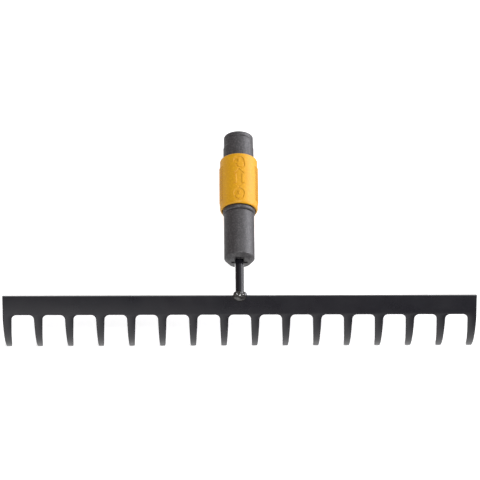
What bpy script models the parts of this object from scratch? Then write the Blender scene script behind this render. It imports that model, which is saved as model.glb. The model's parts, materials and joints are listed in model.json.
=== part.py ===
"""Garden rake head: a stamped toothed plate on a welded rod, with a quick-release socket for a handle.

The head lies on its tooth tips and on the lower edge of its socket's mouth. +X runs along the bar,
+Y towards the handle, +Z up. The origin is under the middle of the object. Sizes are in millimetres
and become metres where a mesh is made.
"""

import math

import bmesh
import bpy
from mathutils import Matrix, Vector

MM = 0.001
FIT = 0.3  # gap between two pieces that touch

# Stamped plate. A distance along it is measured from the bar's top edge.
PLATE_THICKNESS = 3.0
BAR_HALF_LENGTH = 210.0
BAR_HEIGHT = 17.35
TOOTH_COUNT = 16
TOOTH_PITCH = 27.47
TOOTH_ROOT_WIDTH = 7.55
TOOTH_TIP_WIDTH = 4.7
TIP_CORNER = 1.1
GAP_CORNER = 4.3
FLAT_LENGTH = 14.4
BEND_RADIUS = 41.8
TIP_STRAIGHT = 4.62
BAR_SLOPE = math.radians(31.0)  # the bar's fall towards the teeth
BEND_ANGLE = math.pi / 2 - BAR_SLOPE  # the tips point straight down
BEND_STEPS = 10
CORNER_STEPS = 5
ROOT_LINE = BAR_HEIGHT + GAP_CORNER  # where a tooth's straight sides start
PLATE_LENGTH = FLAT_LENGTH + BEND_RADIUS * BEND_ANGLE + TIP_STRAIGHT

# Rod and socket. Heights are measured along the rod's axis from the bar's top edge.
AXIS_DROOP = math.radians(12.6)  # the axis falls towards the mouth
ROD_RADIUS = 3.75
ROD_TOP = 64.5
BEAD_HALF_WIDTH = 6.6
BEAD_HALF_HEIGHT = 5.2
BEAD_HALF_DEPTH = 4.3
BEAD_COARSE_LUMP = 0.05
BEAD_FINE_LUMP = 0.04
BEAD_REACH = 20.0  # how far the cutters for the bead run past it

FERRULE_END = 33.0
FERRULE_END_RADIUS = 10.3
FERRULE_RADIUS = 13.6
FERRULE_CONE_TOP = 36.5
FERRULE_RIM_ROUND = 1.0
FERRULE_TOP_CHAMFER = 0.5
FERRULE_WALL_TOP = 38.0
FERRULE_BORE = 10.8
FERRULE_TOP = 80.5
TANG_SLOT_HALF = ROD_RADIUS + FIT
TANG_SLOT_FLARE = 1.3
TANG_SLOT_FLARE_START = 8.5
CROSS_SLOT_HALF_LENGTH = 7.2
CROSS_SLOT_HALF_WIDTH = 1.4

CORE_RADIUS = FERRULE_BORE - FIT
CORE_BOTTOM = FERRULE_WALL_TOP + FIT
CORE_TOP = 65.5
PIN_HEIGHT = 55.0
PIN_RADIUS = 1.5
PIN_HALF_LENGTH = 10.0

SPIGOT_RADIUS = FERRULE_BORE - FIT
SPIGOT_BOTTOM = 66.0
SPIGOT_CORING_RADIUS = 5.5
SPIGOT_CORING_TOP = 87.5
SNAP_HEIGHT = 73.5
SNAP_GROOVE_HALF = 1.0
SNAP_GROOVE_DEPTH = 0.8

BASE_BOTTOM = 81.0
BASE_TOP = 84.4
BASE_RADIUS = 14.6
BASE_LOW_CHAMFER = 1.0
BASE_TOP_CHAMFER = 0.3
BASE_STEP_RADIUS = 13.5
BASE_STEP_TOP = 86.4
LUG_TOP = 97.0
LUG_HALF_WIDTH = 2.0
LUG_OUTER = 13.0
LUG_ROOT = 0.5  # how far a lug reaches down into the ring's step

NECK_BOTTOM = 84.7
NECK_RADIUS = 11.6
NECK_TOP = 134.2
BODY_RADIUS = 13.25
GUIDE_RADIUS = 13.7
GUIDE_TOP = 149.3
GUIDE_HALF_ANGLE = math.radians(42.0)
MOUTH = 160.9
MOUTH_EDGE = 1.0
SOCKET_RADIUS = 9.5
SOCKET_FLOOR = 92.7
SOCKET_CHAMFER = 0.7
KEYWAY_HALF_WIDTH = 2.0
KEYWAY_DEPTH = 1.1
KEYWAY_BOTTOM = 120.0
MOUTH_GROOVE_HEIGHT = 156.2
MOUTH_GROOVE_HALF = 0.4
MOUTH_GROOVE_DEPTH = 0.5
MOUTH_GROOVE_HALF_ANGLE = math.radians(47.0)
PAD_THICKNESS = 2.0

# Locking sleeve and what it drives.
SLEEVE_BOTTOM = 84.7
SLEEVE_TOP = 135.8
SLEEVE_BORE = 15.0
SLEEVE_LOW_RADIUS = 17.0
SLEEVE_TOP_RADIUS = 16.85
SLEEVE_LOW_ROUND = 2.4
SLEEVE_TOP_ROUND = 0.9
FLANGE_BOTTOM = BASE_STEP_TOP + FIT
FLANGE_TOP = 88.7
FLANGE_BORE = NECK_RADIUS + FIT
GRIP_RADIUS = 17.55
GRIP_BOTTOM = 91.2
GRIP_TOP = 128.9
GRIP_HALF_ANGLE = math.radians(32.0)

CAM_BOTTOM = FLANGE_TOP + FIT
CAM_TOP = 111.7
CAM_OUTER = SLEEVE_BORE - FIT
CAM_WIDE_RADIUS = 14.2
CAM_RAMP_BOTTOM = 93.0
CAM_RAMP_TOP = 107.0
CAM_SLOPE = 0.16  # how far the ramp closes in for each millimetre of height
WASHER_BORE = NECK_RADIUS + FIT
WASHER_OUTER = 14.6
THRUST_WASHER_BOTTOM = CAM_TOP + FIT
THRUST_WASHER_THICKNESS = 0.8
THRUST_WASHER_TOP = THRUST_WASHER_BOTTOM + THRUST_WASHER_THICKNESS
STOP_WASHER_TOP = NECK_TOP - FIT
STOP_WASHER_THICKNESS = 1.2
STOP_WASHER_BOTTOM = STOP_WASHER_TOP - STOP_WASHER_THICKNESS
SPRING_WIRE_RADIUS = 0.6
SPRING_COIL_RADIUS = 13.3
SPRING_TURNS = 6.5
SPRING_POINTS_PER_TURN = 14
SPRING_END_CLOSING = 0.12

PAWL_HALF_WIDTH = 4.0
PAWL_TIP = 8.4
PAWL_NOSE = 9.3
PAWL_BOTTOM = 101.0
PAWL_TOP = CAM_RAMP_TOP
PAWL_NOSE_START = 105.0
PAWL_LIP_BOTTOM = 99.2
PAWL_LIP_RADIUS = NECK_RADIUS + FIT + 0.05

ROUND_STEPS = 40
SMOOTH_ANGLE = math.radians(35.0)


# Materials: name, base colour, roughness, metallic


MATERIALS = {
    "painted_steel": ((0.030, 0.030, 0.034), 0.42, 0.0),
    "weld": ((0.028, 0.028, 0.030), 0.22, 0.0),
    "zinc_steel": ((0.55, 0.55, 0.53), 0.35, 1.0),
    "spring_steel": ((0.32, 0.32, 0.34), 0.30, 1.0),
    "grey_plastic": ((0.070, 0.069, 0.070), 0.50, 0.0),
    "core_plastic": ((0.035, 0.035, 0.036), 0.55, 0.0),
    "orange_plastic": ((0.82, 0.36, 0.03), 0.42, 0.0),
    "cam_plastic": ((0.60, 0.60, 0.57), 0.45, 0.0),
    "pad_rubber": ((0.020, 0.020, 0.020), 0.80, 0.0),
}


def clear_scene():
    for item in list(bpy.data.objects):
        bpy.data.objects.remove(item, do_unlink=True)


def material(name):
    found = bpy.data.materials.get(name)
    if found:
        return found
    colour, roughness, metallic = MATERIALS[name]
    made = bpy.data.materials.new(name)
    made.use_nodes = True
    shader = made.node_tree.nodes["Principled BSDF"]
    shader.inputs["Base Color"].default_value = (*colour, 1.0)
    shader.inputs["Roughness"].default_value = roughness
    shader.inputs["Metallic"].default_value = metallic
    return made


def add_object(name, points, faces, parent):
    """An object from points in millimetres and faces that may wind either way."""
    mesh = bpy.data.meshes.new(name)
    mesh.from_pydata([Vector(point) * MM for point in points], [], faces)
    shaped = bmesh.new()
    shaped.from_mesh(mesh)
    bmesh.ops.recalc_face_normals(shaped, faces=shaped.faces)
    shaped.to_mesh(mesh)
    shaped.free()
    made = bpy.data.objects.new(name, mesh)
    bpy.context.scene.collection.objects.link(made)
    made.parent = parent
    return made


def finish_piece(piece, material_name, smooth=True):
    piece.data.materials.append(material(material_name))
    if smooth:
        piece.data.shade_smooth()
        piece.data.set_sharp_from_angle(angle=SMOOTH_ANGLE)
    return piece


def add_empty(name, parent=None):
    made = bpy.data.objects.new(name, None)
    made.empty_display_size = 0.01
    bpy.context.scene.collection.objects.link(made)
    made.parent = parent
    return made


def combine(piece, other, operation):
    """A Boolean of the piece with a helper, which stays out of the render."""
    modifier = piece.modifiers.new(f"{operation.lower()}_{other.name}", "BOOLEAN")
    modifier.operation = operation
    modifier.solver = "EXACT"
    modifier.object = other
    other.hide_render = True
    other.display_type = "WIRE"


# Solids about a local +Z axis


def turned(name, profile, parent, steps=ROUND_STEPS):
    """A solid of revolution from a closed outline of (radius, height) points."""
    points = []
    rings = []
    for radius, height in profile:
        count = steps if radius > 0 else 1
        rings.append([len(points) + k for k in range(count)])
        for k in range(count):
            turn = 2 * math.pi * k / count
            points.append((radius * math.cos(turn), radius * math.sin(turn), height))
    faces = []
    for lower, upper in zip(rings, rings[1:] + rings[:1]):
        if len(lower) == 1 and len(upper) == 1:
            continue
        for k in range(steps):
            after = (k + 1) % steps
            face = [lower[k % len(lower)], lower[after % len(lower)]]
            face += [upper[after % len(upper)], upper[k % len(upper)]]
            faces.append(list(dict.fromkeys(face)))
    return add_object(name, points, faces, parent)


def prism(name, outline, bottom, top, parent):
    """A solid with the given (x, y) outline between two heights."""
    count = len(outline)
    points = [(x, y, height) for height in (bottom, top) for x, y in outline]
    faces = [list(range(count)), list(range(count, 2 * count))]
    for k in range(count):
        after = (k + 1) % count
        faces.append([k, after, count + after, count + k])
    return add_object(name, points, faces, parent)


def block(name, x_range, y_range, z_range, parent):
    (x0, x1), (y0, y1) = x_range, y_range
    return prism(name, [(x0, y0), (x1, y0), (x1, y1), (x0, y1)], *z_range, parent)


def arc(radius, start, end, steps):
    """Points of an arc about the origin, both ends included."""
    turns = [start + (end - start) * k / steps for k in range(steps + 1)]
    return [(radius * math.cos(turn), radius * math.sin(turn)) for turn in turns]


def sector(name, radii, heights, middle, half_angle, parent, steps=16):
    """A piece of a ring between two radii, centred on the direction `middle`."""
    outer = arc(radii[1], middle - half_angle, middle + half_angle, steps)
    inner = arc(radii[0], middle + half_angle, middle - half_angle, steps)
    return prism(name, outer + inner, *heights, parent)


def cross_cylinder(name, radius, half_length, height, parent, steps=20):
    """A cylinder that lies along local X at a height."""
    outline = arc(radius, 0, 2 * math.pi * (steps - 1) / steps, steps - 1)
    made = prism(name, outline, -half_length, half_length, parent)
    made.data.transform(Matrix.Rotation(math.pi / 2, 4, "Y"))
    made.location.z = height * MM
    return made


def round_edge(centre, radius, start, end, steps=4):
    """Outline points of a rounded edge about a centre, in (radius, height)."""
    return [(centre[0] + x, centre[1] + z) for x, z in arc(radius, start, end, steps)]


# Stamped plate


def plate_place(distance):
    """Offset (y, z) from the bar's top edge, and the heading, at a distance down the plate."""
    heading = math.pi + BAR_SLOPE
    flat = min(distance, FLAT_LENGTH)
    y = flat * math.cos(heading)
    z = flat * math.sin(heading)
    bent = min(max(distance - FLAT_LENGTH, 0.0), BEND_RADIUS * BEND_ANGLE)
    turned_heading = heading + bent / BEND_RADIUS
    y += BEND_RADIUS * (math.sin(turned_heading) - math.sin(heading))
    z -= BEND_RADIUS * (math.cos(turned_heading) - math.cos(heading))
    straight = max(distance - FLAT_LENGTH - BEND_RADIUS * BEND_ANGLE, 0.0)
    y += straight * math.cos(turned_heading)
    z += straight * math.sin(turned_heading)
    return y, z, turned_heading


def tooth_width(distance):
    """A tooth's width, which tapers evenly to the tip and is rounded off at its corners."""
    share = max(distance - ROOT_LINE, 0.0) / (PLATE_LENGTH - ROOT_LINE)
    width = TOOTH_ROOT_WIDTH - (TOOTH_ROOT_WIDTH - TOOTH_TIP_WIDTH) * share
    into_tip = distance - (PLATE_LENGTH - TIP_CORNER)
    if into_tip > 0:
        width -= 2 * (TIP_CORNER - math.sqrt(max(TIP_CORNER**2 - into_tip**2, 0.0)))
    return width


def corner_spread(distance):
    """How far a tooth's side stands out in the round corner of the gap beside it."""
    into_corner = max(ROOT_LINE - distance, 0.0)
    return GAP_CORNER - math.sqrt(max(GAP_CORNER**2 - into_corner**2, 0.0))


def tooth_sides(index, distance):
    """The two x places of a tooth's sides; an end tooth runs out to the bar's end."""
    centre = (index - (TOOTH_COUNT - 1) / 2) * TOOTH_PITCH
    half = tooth_width(distance) / 2
    spare = BAR_HALF_LENGTH - (TOOTH_COUNT - 1) / 2 * TOOTH_PITCH - TOOTH_ROOT_WIDTH / 2
    spread = corner_spread(distance)
    left = centre - half - (spare if index == 0 else spread)
    right = centre + half + (spare if index == TOOTH_COUNT - 1 else spread)
    return left, right


def tooth_stations():
    """Distances down the plate at which a tooth has a cross-section, below the bar's lower edge."""
    turns = [math.pi / 2 * k / CORNER_STEPS for k in range(1, CORNER_STEPS + 1)]
    corner = [ROOT_LINE - GAP_CORNER * math.cos(turn) for turn in turns]
    bend = [FLAT_LENGTH + BEND_RADIUS * BEND_ANGLE * k / BEND_STEPS for k in range(BEND_STEPS + 1)]
    tip_start = PLATE_LENGTH - TIP_CORNER
    tip = [tip_start + TIP_CORNER * math.sin(math.pi / 6 * k) for k in range(4)]
    return corner + [distance for distance in bend if distance > ROOT_LINE + 1] + tip


def plate_outline():
    """The flat comb as 2D points (x, distance) and faces: the bar in two strips, then each tooth's quads."""
    points = [(-BAR_HALF_LENGTH, 0.0), (BAR_HALF_LENGTH, 0.0)]
    points += [(BAR_HALF_LENGTH, FLAT_LENGTH), (-BAR_HALF_LENGTH, FLAT_LENGTH)]
    lower_strip = [3, 2]
    faces = [[0, 1, 2, 3], lower_strip]
    for index in reversed(range(TOOTH_COUNT)):
        left, right = tooth_sides(index, BAR_HEIGHT)
        points += [(right, BAR_HEIGHT), (left, BAR_HEIGHT)]
        right_before, left_before = len(points) - 2, len(points) - 1
        lower_strip += [right_before, left_before]
        for distance in tooth_stations():
            left, right = tooth_sides(index, distance)
            points += [(right, distance), (left, distance)]
            right_now, left_now = len(points) - 2, len(points) - 1
            faces.append([right_before, right_now, left_now, left_before])
            right_before, left_before = right_now, left_now
    return points, faces


def add_rake_plate(parent):
    flat, flat_faces = plate_outline()
    points = []
    for side in (-0.5, 0.5):
        for x, distance in flat:
            y, z, heading = plate_place(distance)
            offset = side * PLATE_THICKNESS
            points.append((x, y - offset * math.sin(heading), z + offset * math.cos(heading)))
    count = len(flat)
    faces = list(flat_faces)
    faces += [[corner + count for corner in reversed(face)] for face in flat_faces]
    edges = {}
    for face in flat_faces:
        for start, end in zip(face, face[1:] + face[:1]):
            key = (min(start, end), max(start, end))
            edges[key] = edges.get(key, 0) + 1
    for (start, end), uses in edges.items():
        if uses == 1:
            faces.append([start, end, end + count, start + count])
    return finish_piece(add_object("rake_plate", points, faces, parent), "painted_steel", smooth=False)


# Rod and weld


def mitred_rod(name, radius, clearance, top, parent, steps=32):
    """A rod along local Z whose lower end is cut parallel to the bar's top edge face."""
    along = math.cos(BAR_SLOPE + AXIS_DROOP)
    across = math.sin(BAR_SLOPE + AXIS_DROOP)
    ring = arc(radius, 0, 2 * math.pi * (steps - 1) / steps, steps - 1)
    points = [(x, y, (clearance + across * y) / along) for x, y in ring]
    points += [(x, y, top) for x, y in ring]
    faces = [list(range(steps)), list(range(steps, 2 * steps))]
    for k in range(steps):
        after = (k + 1) % steps
        faces.append([k, after, steps + after, steps + k])
    return add_object(name, points, faces, parent)


def add_tang_rod(axis):
    rod = mitred_rod("tang_rod", ROD_RADIUS, FIT, ROD_TOP, axis)
    hole = cross_cylinder("tang_rod_hole", PIN_RADIUS + FIT, ROD_RADIUS + 1, PIN_HEIGHT, axis)
    combine(rod, hole, "DIFFERENCE")
    return finish_piece(rod, "painted_steel")


def add_weld_bead(axis, plate_edge):
    """A lumpy ellipsoid round the joint, less the plate and the rod."""
    shaped = bmesh.new()
    bmesh.ops.create_uvsphere(shaped, u_segments=24, v_segments=14, radius=1.0)
    points = []
    for vertex in shaped.verts:
        x, y, z = vertex.co
        coarse = BEAD_COARSE_LUMP * math.sin(5 * x + 2) * math.sin(4 * y + 1)
        lump = 1 + coarse + BEAD_FINE_LUMP * math.sin(9 * x + 3 * z)
        points.append((x * BEAD_HALF_WIDTH * lump, y * BEAD_HALF_HEIGHT * lump, z * BEAD_HALF_DEPTH * lump))
    faces = [[vertex.index for vertex in face.verts] for face in shaped.faces]
    shaped.free()
    bead = add_object("weld_bead", points, faces, plate_edge)
    half = PLATE_THICKNESS / 2 + FIT
    wide = (-BEAD_REACH, BEAD_REACH)
    slab = block("weld_bead_plate", wide, (-FLAT_LENGTH, FIT), (-half, half), plate_edge)
    combine(bead, slab, "DIFFERENCE")
    rod = mitred_rod("weld_bead_rod", ROD_RADIUS + FIT, 0.0, BEAD_REACH, axis)
    combine(bead, rod, "DIFFERENCE")
    return finish_piece(bead, "weld")


# Ferrule and what it holds


def add_ferrule(axis):
    rim_centre = (FERRULE_RADIUS - FERRULE_RIM_ROUND, FERRULE_CONE_TOP + FERRULE_RIM_ROUND / 2)
    groove_low = SNAP_HEIGHT - SNAP_GROOVE_HALF
    groove_high = SNAP_HEIGHT + SNAP_GROOVE_HALF
    groove_radius = FERRULE_BORE + SNAP_GROOVE_DEPTH
    profile = [(0.0, FERRULE_END), (FERRULE_END_RADIUS, FERRULE_END)]
    profile += round_edge(rim_centre, FERRULE_RIM_ROUND, -math.pi / 4, 0)
    profile += [(FERRULE_RADIUS, FERRULE_TOP - FERRULE_TOP_CHAMFER)]
    profile += [(FERRULE_RADIUS - FERRULE_TOP_CHAMFER, FERRULE_TOP)]
    profile += [(FERRULE_BORE, FERRULE_TOP), (FERRULE_BORE, groove_high), (groove_radius, groove_high)]
    profile += [(groove_radius, groove_low), (FERRULE_BORE, groove_low)]
    profile += [(FERRULE_BORE, FERRULE_WALL_TOP), (0.0, FERRULE_WALL_TOP)]
    ferrule = turned("ferrule", profile, axis)
    wall = (FERRULE_END - 1, FERRULE_WALL_TOP + FIT / 2)
    half = TANG_SLOT_HALF
    flare = half + TANG_SLOT_FLARE
    flare_start = TANG_SLOT_FLARE_START
    outline = [(-half, -FERRULE_END_RADIUS), (half, -FERRULE_END_RADIUS), (half, flare_start)]
    outline += [(flare, FERRULE_RADIUS + 1), (-flare, FERRULE_RADIUS + 1), (-half, flare_start)]
    combine(ferrule, prism("ferrule_tang_slot", outline, *wall, axis), "DIFFERENCE")
    long_way = (-CROSS_SLOT_HALF_LENGTH, CROSS_SLOT_HALF_LENGTH)
    short_way = (-CROSS_SLOT_HALF_WIDTH, CROSS_SLOT_HALF_WIDTH)
    combine(ferrule, block("ferrule_cross_slot", long_way, short_way, wall, axis), "DIFFERENCE")
    return finish_piece(ferrule, "grey_plastic")


def add_tang_core(name, side, axis):
    """Half of a cylinder with a round groove for the rod, on the side +1 or -1 of the split."""
    middle = 0.0 if side > 0 else math.pi
    split = FIT / 2
    outer_turn = math.pi / 2 - math.asin(split / CORE_RADIUS)
    groove = ROD_RADIUS + FIT
    inner_turn = math.pi / 2 - math.asin(split / groove)
    outline = arc(CORE_RADIUS, middle - outer_turn, middle + outer_turn, 24)
    outline += arc(groove, middle + inner_turn, middle - inner_turn, 12)
    core = prism(name, outline, CORE_BOTTOM, CORE_TOP, axis)
    hole = cross_cylinder(f"{name}_hole", PIN_RADIUS + FIT, CORE_RADIUS + 1, PIN_HEIGHT, axis)
    combine(core, hole, "DIFFERENCE")
    return finish_piece(core, "core_plastic")


def add_snap_ring(axis):
    """A split ring half in the ferrule's groove and half in the spigot's."""
    inner = SPIGOT_RADIUS - SNAP_GROOVE_DEPTH + FIT
    outer = FERRULE_BORE + SNAP_GROOVE_DEPTH - FIT
    heights = (SNAP_HEIGHT - SNAP_GROOVE_HALF + FIT, SNAP_HEIGHT + SNAP_GROOVE_HALF - FIT)
    half_angle = math.radians(168.0)
    ring = sector("ferrule_snap_ring", (inner, outer), heights, -math.pi / 2, half_angle, axis, steps=40)
    return finish_piece(ring, "spring_steel")


# Base ring and connector body


def add_base_ring(axis):
    bore = SPIGOT_RADIUS + FIT
    step_bore = NECK_RADIUS + FIT
    profile = [(bore, BASE_BOTTOM), (BASE_RADIUS - BASE_LOW_CHAMFER, BASE_BOTTOM)]
    profile += [(BASE_RADIUS, BASE_BOTTOM + BASE_LOW_CHAMFER), (BASE_RADIUS, BASE_TOP - BASE_TOP_CHAMFER)]
    profile += [(BASE_RADIUS - BASE_TOP_CHAMFER, BASE_TOP)]
    profile += [(BASE_STEP_RADIUS, BASE_TOP), (BASE_STEP_RADIUS, BASE_STEP_TOP), (step_bore, BASE_STEP_TOP)]
    profile += [(step_bore, NECK_BOTTOM - FIT), (bore, NECK_BOTTOM - FIT)]
    ring = turned("base_ring", profile, axis)
    for side in (-1, 1):
        across = sorted((side * (step_bore + 0.05), side * LUG_OUTER))
        lug_name = f"base_ring_lug_{'left' if side < 0 else 'right'}"
        wide = (-LUG_HALF_WIDTH, LUG_HALF_WIDTH)
        combine(ring, block(lug_name, across, wide, (BASE_STEP_TOP - LUG_ROOT, LUG_TOP), axis), "UNION")
    return finish_piece(ring, "grey_plastic")


def body_profile():
    groove_low = SNAP_HEIGHT - SNAP_GROOVE_HALF
    groove_high = SNAP_HEIGHT + SNAP_GROOVE_HALF
    groove_radius = SPIGOT_RADIUS - SNAP_GROOVE_DEPTH
    profile = [(SPIGOT_CORING_RADIUS, SPIGOT_BOTTOM), (SPIGOT_RADIUS - 0.5, SPIGOT_BOTTOM)]
    profile += [(SPIGOT_RADIUS, SPIGOT_BOTTOM + 0.5), (SPIGOT_RADIUS, groove_low)]
    profile += [(groove_radius, groove_low), (groove_radius, groove_high), (SPIGOT_RADIUS, groove_high)]
    profile += [(SPIGOT_RADIUS, NECK_BOTTOM), (NECK_RADIUS, NECK_BOTTOM), (NECK_RADIUS, NECK_TOP)]
    profile += [(BODY_RADIUS, NECK_TOP), (BODY_RADIUS, GUIDE_TOP)]
    profile += round_edge((BODY_RADIUS - MOUTH_EDGE, MOUTH - MOUTH_EDGE), MOUTH_EDGE, 0, math.pi / 2)
    profile += [(SOCKET_RADIUS + SOCKET_CHAMFER, MOUTH), (SOCKET_RADIUS, MOUTH - SOCKET_CHAMFER)]
    profile += [(SOCKET_RADIUS, SOCKET_FLOOR), (0.0, SOCKET_FLOOR), (0.0, SPIGOT_CORING_TOP)]
    profile += [(SPIGOT_CORING_RADIUS, SPIGOT_CORING_TOP)]
    return profile


def add_connector_body(axis):
    body = turned("connector_body", body_profile(), axis)
    for side in (-1, 1):
        hand = "left" if side < 0 else "right"
        middle = math.pi if side < 0 else 0.0
        guide_heights = (NECK_TOP + 0.3, GUIDE_TOP)
        guide_radii = (BODY_RADIUS - 1.0, GUIDE_RADIUS)
        guide = sector(f"body_guide_{hand}", guide_radii, guide_heights, middle, GUIDE_HALF_ANGLE, axis)
        combine(body, guide, "UNION")
        across = sorted((side * (SOCKET_RADIUS - 1), side * (SOCKET_RADIUS + KEYWAY_DEPTH)))
        wide = (-KEYWAY_HALF_WIDTH, KEYWAY_HALF_WIDTH)
        keyway = block(f"body_keyway_{hand}", across, wide, (KEYWAY_BOTTOM, MOUTH + 1), axis)
        combine(body, keyway, "DIFFERENCE")
    for side in (-1, 1):
        face = "front" if side < 0 else "rear"
        window = PAWL_HALF_WIDTH + FIT
        reach = sorted((side * (SOCKET_RADIUS - 1.5), side * (NECK_RADIUS + 0.7)))
        heights = (PAWL_BOTTOM - FIT, PAWL_TOP + FIT)
        combine(body, block(f"body_window_{face}", (-window, window), reach, heights, axis), "DIFFERENCE")
    groove_radii = (BODY_RADIUS - MOUTH_GROOVE_DEPTH, BODY_RADIUS + 1)
    groove_heights = (MOUTH_GROOVE_HEIGHT - MOUTH_GROOVE_HALF, MOUTH_GROOVE_HEIGHT + MOUTH_GROOVE_HALF)
    front = -math.pi / 2
    groove = sector("body_groove", groove_radii, groove_heights, front, MOUTH_GROOVE_HALF_ANGLE, axis)
    combine(body, groove, "DIFFERENCE")
    return finish_piece(body, "grey_plastic")


# Simple rings, discs and the spring


def add_ring(name, radii, heights, parent, material_name):
    profile = [(radii[0], heights[0]), (radii[1], heights[0]), (radii[1], heights[1]), (radii[0], heights[1])]
    return finish_piece(turned(name, profile, parent), material_name)


def add_socket_pad(axis):
    bottom = SOCKET_FLOOR + FIT
    radius = SOCKET_RADIUS - FIT
    top = bottom + PAD_THICKNESS
    profile = [(0.0, bottom), (radius, bottom), (radius, top - 0.5), (radius - 0.5, top), (0.0, top)]
    return finish_piece(turned("socket_pad", profile, axis, steps=48), "pad_rubber")


def add_spring(axis):
    """A coil of round wire whose end turns lie close."""
    low = THRUST_WASHER_TOP + FIT + SPRING_WIRE_RADIUS
    high = STOP_WASHER_BOTTOM - FIT - SPRING_WIRE_RADIUS
    count = round(SPRING_TURNS * SPRING_POINTS_PER_TURN) + 1
    curve = bpy.data.curves.new("sleeve_spring", "CURVE")
    curve.dimensions = "3D"
    curve.bevel_depth = SPRING_WIRE_RADIUS * MM
    curve.bevel_resolution = 1
    curve.use_fill_caps = True
    line = curve.splines.new("POLY")
    line.points.add(count - 1)
    for k, point in enumerate(line.points):
        share = k / (count - 1)
        turn = 2 * math.pi * SPRING_TURNS * share
        eased = share - SPRING_END_CLOSING * math.sin(2 * math.pi * share)
        height = low + (high - low) * eased
        place = (SPRING_COIL_RADIUS * math.cos(turn), SPRING_COIL_RADIUS * math.sin(turn), height)
        point.co = (*(Vector(place) * MM), 1.0)
    spring = bpy.data.objects.new("sleeve_spring", curve)
    bpy.context.scene.collection.objects.link(spring)
    spring.parent = axis
    spring.data.materials.append(material("spring_steel"))
    return spring


# Locking sleeve, cam ring and pawls


def sleeve_profile():
    low_centre = (SLEEVE_LOW_RADIUS - SLEEVE_LOW_ROUND, SLEEVE_BOTTOM + SLEEVE_LOW_ROUND)
    top_centre = (SLEEVE_TOP_RADIUS - SLEEVE_TOP_ROUND, SLEEVE_TOP - SLEEVE_TOP_ROUND)
    start = -math.acos((SLEEVE_BORE + 0.6 - low_centre[0]) / SLEEVE_LOW_ROUND)
    profile = [(SLEEVE_BORE + 0.1, FLANGE_BOTTOM), (SLEEVE_BORE + 0.1, SLEEVE_BOTTOM + 0.4)]
    profile += round_edge(low_centre, SLEEVE_LOW_ROUND, start, 0)
    profile += round_edge(top_centre, SLEEVE_TOP_ROUND, 0, math.pi / 2)
    profile += [(SLEEVE_BORE + 0.3, SLEEVE_TOP), (SLEEVE_BORE, SLEEVE_TOP - 0.3), (SLEEVE_BORE, FLANGE_TOP)]
    profile += [(FLANGE_BORE, FLANGE_TOP), (FLANGE_BORE, FLANGE_BOTTOM)]
    return profile


def add_locking_sleeve(carrier):
    sleeve = turned("locking_sleeve", sleeve_profile(), carrier)
    for side in (-1, 1):
        hand = "left" if side < 0 else "right"
        middle = math.pi if side < 0 else 0.0
        radii = (SLEEVE_BORE + 0.8, GRIP_RADIUS)
        grip = sector(f"sleeve_grip_{hand}", radii, (GRIP_BOTTOM, GRIP_TOP), middle, GRIP_HALF_ANGLE, carrier)
        combine(sleeve, grip, "UNION")
        across = sorted((side * (FLANGE_BORE - 1), side * (LUG_OUTER + 0.45)))
        notch = LUG_HALF_WIDTH + FIT
        heights = (FLANGE_BOTTOM - 0.5, FLANGE_TOP + 0.5)
        combine(sleeve, block(f"sleeve_notch_{hand}", across, (-notch, notch), heights, carrier), "DIFFERENCE")
    return finish_piece(sleeve, "orange_plastic")


def cam_radius(height):
    """The cam ring's inner radius: wide, then closing in along the ramp."""
    climbed = min(max(height - CAM_RAMP_BOTTOM, 0.0), CAM_RAMP_TOP - CAM_RAMP_BOTTOM)
    return CAM_WIDE_RADIUS - CAM_SLOPE * climbed


def add_cam_ring(carrier):
    profile = [(cam_radius(CAM_BOTTOM), CAM_BOTTOM), (CAM_OUTER, CAM_BOTTOM), (CAM_OUTER, CAM_TOP)]
    profile += [(cam_radius(height), height) for height in (CAM_TOP, CAM_RAMP_TOP, CAM_RAMP_BOTTOM)]
    return finish_piece(turned("sleeve_cam_ring", profile, carrier), "cam_plastic")


def add_latch_pawl(name, carrier):
    """A pawl on the local +Y side, whose back follows the ramp and whose lip stays outside the neck."""
    gap = FIT / math.cos(math.atan(CAM_SLOPE)) + 0.01
    steps = 8
    points = []
    for k in range(steps + 1):
        x = PAWL_HALF_WIDTH * (2 * k / steps - 1)

        def back(height, x=x):
            return math.sqrt((cam_radius(height) - gap) ** 2 - x**2)

        points += [(x, PAWL_LIP_RADIUS, PAWL_LIP_BOTTOM), (x, PAWL_LIP_RADIUS, PAWL_BOTTOM)]
        points += [(x, PAWL_TIP, PAWL_BOTTOM), (x, PAWL_TIP, PAWL_NOSE_START), (x, PAWL_NOSE, PAWL_TOP)]
        points += [(x, back(PAWL_TOP), PAWL_TOP), (x, back(PAWL_LIP_BOTTOM), PAWL_LIP_BOTTOM)]
    count = len(points) // (steps + 1)
    faces = [list(range(count)), list(range(steps * count, (steps + 1) * count))]
    for k in range(steps):
        for corner in range(count):
            after = (corner + 1) % count
            start = k * count
            faces.append([start + corner, start + after, start + count + after, start + count + corner])
    return finish_piece(add_object(name, points, faces, carrier), "zinc_steel")


def place_axes():
    """The empties: the plate's edge, the socket's axis, and a carrier on each joint's axis."""
    tip_y, tip_z, _ = plate_place(PLATE_LENGTH)
    edge = (MOUTH - MOUTH_EDGE) * math.cos(AXIS_DROOP) + (BODY_RADIUS - MOUTH_EDGE) * math.sin(AXIS_DROOP)
    far_y = edge + MOUTH_EDGE
    near_y = tip_y - PLATE_THICKNESS / 2
    root = add_empty("bar_edge_frame")
    root.location = (0.0, -(near_y + far_y) / 2 * MM, -tip_z * MM)
    axis = add_empty("socket_axis", root)
    axis.rotation_euler.x = -math.pi / 2 - AXIS_DROOP
    plate_edge = add_empty("plate_edge", root)
    plate_edge.rotation_euler.x = BAR_SLOPE
    sleeve = add_empty("sleeve_carrier", axis)
    front = add_empty("latch_front_carrier", axis)
    front.rotation_euler.z = math.pi
    rear = add_empty("latch_rear_carrier", axis)
    return root, axis, plate_edge, sleeve, front, rear


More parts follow.
